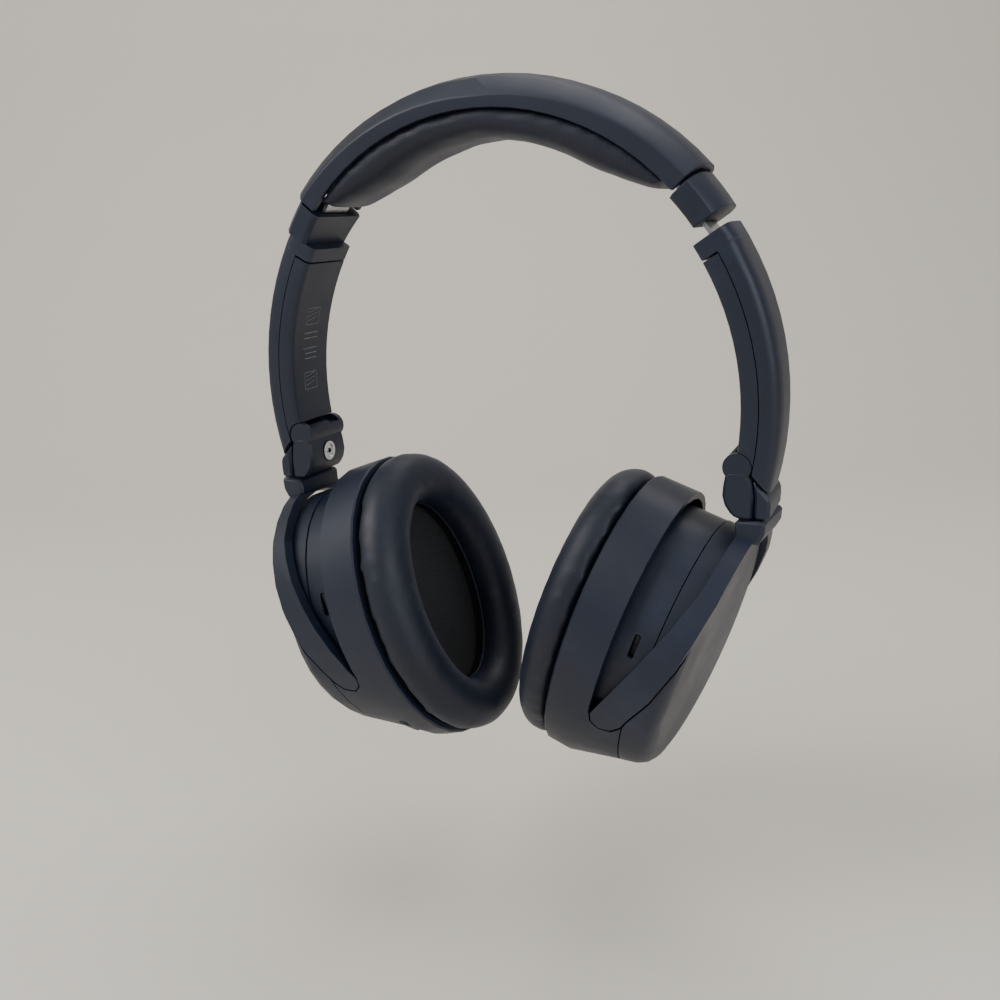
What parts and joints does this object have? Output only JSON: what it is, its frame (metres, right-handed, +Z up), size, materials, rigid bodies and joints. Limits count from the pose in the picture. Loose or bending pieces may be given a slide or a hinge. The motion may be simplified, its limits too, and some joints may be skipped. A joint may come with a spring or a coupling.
{
  "type": "over-ear headphones",
  "caption": "Foldable over-ear headphones with a padded headband, sliding arms, swivelling yokes and oval cushioned ear cups.",
  "frame": {"origin": "underside of the headband cushion at the crown, where a head or a stand carries the headphones", "axes": "+X to the right cup as seen from the front, +Y to the back, +Z up through the crown"},
  "size_m": [0.1803, 0.0884, 0.225],
  "materials": {
    "shell_plastic": "fine matte moulded",
    "cushion_leather": "soft protein leather",
    "acoustic_mesh": "near-black woven mesh",
    "steel": "satin",
    "coated_metal": "navy coated",
    "inner_plastic": "black moulded",
    "circuit_board": "green solder mask",
    "film": "thin polymer film",
    "cell_wrap": "foil pouch",
    "badge_metal": "satin ring"
  },
  "bodies": {
    "headband": {"headband_shell": "shell_plastic", "headband_pad": "cushion_leather", "headband_spring": "steel", "pad_carrier": "inner_plastic", "left_collar": "shell_plastic", "right_collar": "shell_plastic"},
    "left_arm": {"left_arm_shell": "shell_plastic", "left_arm_cover": "shell_plastic", "left_slider_strip": "steel", "left_hinge_fork": "coated_metal", "left_fold_pin": "steel"},
    "left_knuckle": {"left_hinge_block": "coated_metal", "left_swivel_shaft": "steel", "left_hinge_cover": "shell_plastic", "left_knuckle_shell": "shell_plastic", "left_side_badge": "badge_metal"},
    "left_yoke_body": {"left_yoke": "shell_plastic"},
    "left_cup": {"left_ear_pad": "cushion_leather", "left_pad_frame": "inner_plastic", "left_ear_mesh": "acoustic_mesh", "left_baffle": "inner_plastic", "left_driver": "inner_plastic", "left_diaphragm": "film", "left_cup_band": "shell_plastic", "left_housing": "shell_plastic", "left_outer_cover": "shell_plastic", "left_circuit_board": "circuit_board", "left_pivot_front": "steel", "left_pivot_rear": "steel", "left_mic_mesh": "acoustic_mesh", "left_battery": "cell_wrap", "left_audio_jack": "steel"},
    "right_arm": {"right_arm_shell": "shell_plastic", "right_arm_cover": "shell_plastic", "right_slider_strip": "steel", "right_hinge_fork": "coated_metal", "right_fold_pin": "steel"},
    "right_knuckle": {"right_hinge_block": "coated_metal", "right_swivel_shaft": "steel", "right_hinge_cover": "shell_plastic", "right_knuckle_shell": "shell_plastic", "right_side_badge": "badge_metal"},
    "right_yoke_body": {"right_yoke": "shell_plastic"},
    "right_cup": {"right_ear_pad": "cushion_leather", "right_pad_frame": "inner_plastic", "right_ear_mesh": "acoustic_mesh", "right_baffle": "inner_plastic", "right_driver": "inner_plastic", "right_diaphragm": "film", "right_cup_band": "shell_plastic", "right_housing": "shell_plastic", "right_outer_cover": "shell_plastic", "right_circuit_board": "circuit_board", "right_pivot_front": "steel", "right_pivot_rear": "steel", "right_mic_mesh": "acoustic_mesh", "right_antenna_board": "circuit_board", "right_charge_port": "steel"},
    "power_button_body": {"left_power_button": "shell_plastic"},
    "mode_button_body": {"left_mode_button": "shell_plastic"}
  },
  "joints": [
    {"name": "left_slider", "type": "slide", "parent": "headband", "child": "left_arm", "axis": [-0.5878, 0, -0.809], "range_m": [0, 0.03]},
    {"name": "right_slider", "type": "slide", "parent": "headband", "child": "right_arm", "axis": [0.5878, 0, -0.809], "range_m": [-0.004, 0.026]},
    {"name": "left_fold", "type": "hinge", "parent": "left_arm", "child": "left_knuckle", "pos_m": [-0.07636, 0, -0.09536], "axis": [0, 1, 0], "range_deg": [-3, 0]},
    {"name": "right_fold", "type": "hinge", "parent": "right_arm", "child": "right_knuckle", "pos_m": [0.07871, 0, -0.0986], "axis": [0, 1, 0], "range_deg": [0, 3]},
    {"name": "left_swivel", "type": "hinge", "parent": "left_knuckle", "child": "left_yoke_body", "pos_m": [-0.08206, 0, -0.11386], "axis": [0, 0, 1], "range_deg": [-84, 15]},
    {"name": "right_swivel", "type": "hinge", "parent": "right_knuckle", "child": "right_yoke_body", "pos_m": [0.08442, 0, -0.1171], "axis": [0, 0, 1], "range_deg": [-5, 95]},
    {"name": "left_tilt", "type": "hinge", "parent": "left_yoke_body", "child": "left_cup", "pos_m": [-0.04584, -0.00349, -0.16998], "axis": [0.0958, 0.9954, 0], "range_deg": [-5, 1]},
    {"name": "right_tilt", "type": "hinge", "parent": "right_yoke_body", "child": "right_cup", "pos_m": [0.04819, 0.00349, -0.17321], "axis": [0.0958, 0.9954, 0], "range_deg": [-1, 5]},
    {"name": "left_power_button_press", "type": "slide", "parent": "left_cup", "child": "power_button_body", "axis": [0.0596, 0.6131, 0.7877], "range_m": [0, 0.0008], "stiffness_N_per_m": 700},
    {"name": "left_mode_button_press", "type": "slide", "parent": "left_cup", "child": "mode_button_body", "axis": [-0.0601, -0.6297, 0.7745], "range_m": [0, 0.0008], "stiffness_N_per_m": 700}
  ]
}
